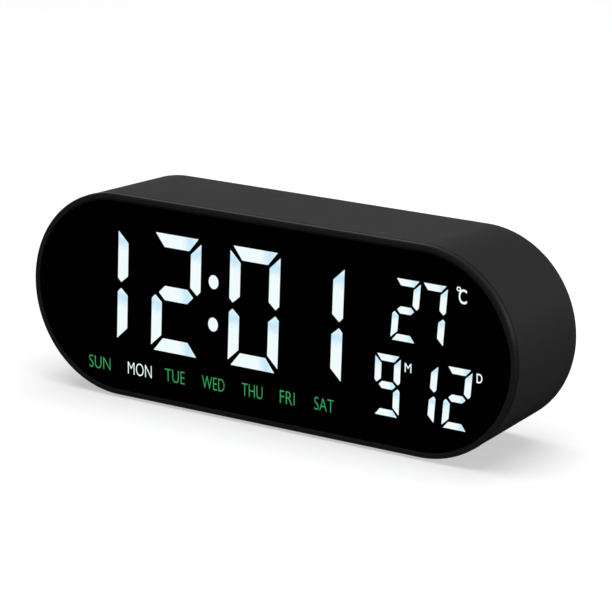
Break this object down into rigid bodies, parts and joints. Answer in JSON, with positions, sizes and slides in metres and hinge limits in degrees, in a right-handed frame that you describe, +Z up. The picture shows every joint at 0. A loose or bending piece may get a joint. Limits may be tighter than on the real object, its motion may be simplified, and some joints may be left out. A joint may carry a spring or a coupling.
{
  "type": "digital alarm clock",
  "caption": "Pill-shaped desk alarm clock with a glowing segment display behind a black lens, rear keys and a hinged battery door.",
  "frame": {"origin": "middle of the bounding box, at the soles of the feet", "axes": "+X to the right as seen from the front, +Y into the clock from the display, +Z up"},
  "size_m": [0.16, 0.0354, 0.0596],
  "materials": {
    "shell": "fine matte moulded texture",
    "frame": "satin moulded black",
    "lens": "polished black acrylic",
    "diffuser": "frosted white film",
    "guide": "white reflective moulding",
    "laminate": "green solder mask",
    "chip": "black moulded package",
    "nickel": "nickel plated sheet and wire",
    "screw_steel": "zinc plated screw",
    "rubber": "matte black rubber",
    "cell_jacket": "printed cell jacket",
    "ribbon": "grey flat cable",
    "wire_red": "red insulation",
    "wire_black": "black insulation",
    "capacitor": "sleeved can"
  },
  "bodies": {
    "case": {"front_frame": "frame", "front_lens": "lens", "diffuser_film": "diffuser", "light_guide": "guide", "display_board": "laminate", "rear_housing": "shell", "main_board": "laminate", "usb_socket": "nickel", "usb_tongue": "chip", "buzzer": "chip", "temperature_sensor": "capacitor", "controller_chip": "chip", "clock_crystal": "nickel", "capacitor": "capacitor", "cable_connector_front": "diffuser", "cable_connector_rear": "diffuser", "ribbon_cable": "ribbon", "battery_lead_red": "wire_red", "battery_lead_black": "wire_black", "housing_screw_1": "screw_steel", "foot_1": "rubber", "board_screw_1": "screw_steel", "housing_screw_2": "screw_steel", "foot_2": "rubber", "board_screw_2": "screw_steel", "housing_screw_3": "screw_steel", "foot_3": "rubber", "board_screw_3": "screw_steel", "housing_screw_4": "screw_steel", "foot_4": "rubber", "board_screw_4": "screw_steel", "battery_1": "cell_jacket", "contact_plate_1": "nickel", "contact_spring_1": "nickel", "battery_2": "cell_jacket", "contact_plate_2": "nickel", "contact_spring_2": "nickel", "battery_3": "cell_jacket", "contact_plate_3": "nickel", "contact_spring_3": "nickel", "tact_switch_1": "nickel", "tact_switch_2": "nickel", "tact_switch_3": "nickel", "tact_switch_4": "nickel", "tact_switch_5": "nickel"},
    "door": {"battery_door": "shell"},
    "key_body_1": {"key_1": "frame", "switch_plunger_1": "chip"},
    "key_body_2": {"key_2": "frame", "switch_plunger_2": "chip"},
    "key_body_3": {"key_3": "frame", "switch_plunger_3": "chip"},
    "key_body_4": {"key_4": "frame", "switch_plunger_4": "chip"},
    "key_body_5": {"key_5": "frame", "switch_plunger_5": "chip"}
  },
  "joints": [
    {"name": "door_hinge", "type": "hinge", "parent": "case", "child": "door", "pos_m": [-0.02805, 0.0165, 0.0498], "axis": [1, 0, 0], "range_deg": [0, 70]},
    {"name": "key_1_press", "type": "slide", "parent": "case", "child": "key_body_1", "axis": [0, -1, 0], "range_m": [0, 0.0005], "stiffness_N_per_m": 1500},
    {"name": "key_2_press", "type": "slide", "parent": "case", "child": "key_body_2", "axis": [0, -1, 0], "range_m": [0, 0.0005], "stiffness_N_per_m": 1500},
    {"name": "key_3_press", "type": "slide", "parent": "case", "child": "key_body_3", "axis": [0, -1, 0], "range_m": [0, 0.0005], "stiffness_N_per_m": 1500},
    {"name": "key_4_press", "type": "slide", "parent": "case", "child": "key_body_4", "axis": [0, -1, 0], "range_m": [0, 0.0005], "stiffness_N_per_m": 1500},
    {"name": "key_5_press", "type": "slide", "parent": "case", "child": "key_body_5", "axis": [0, -1, 0], "range_m": [0, 0.0005], "stiffness_N_per_m": 1500}
  ]
}
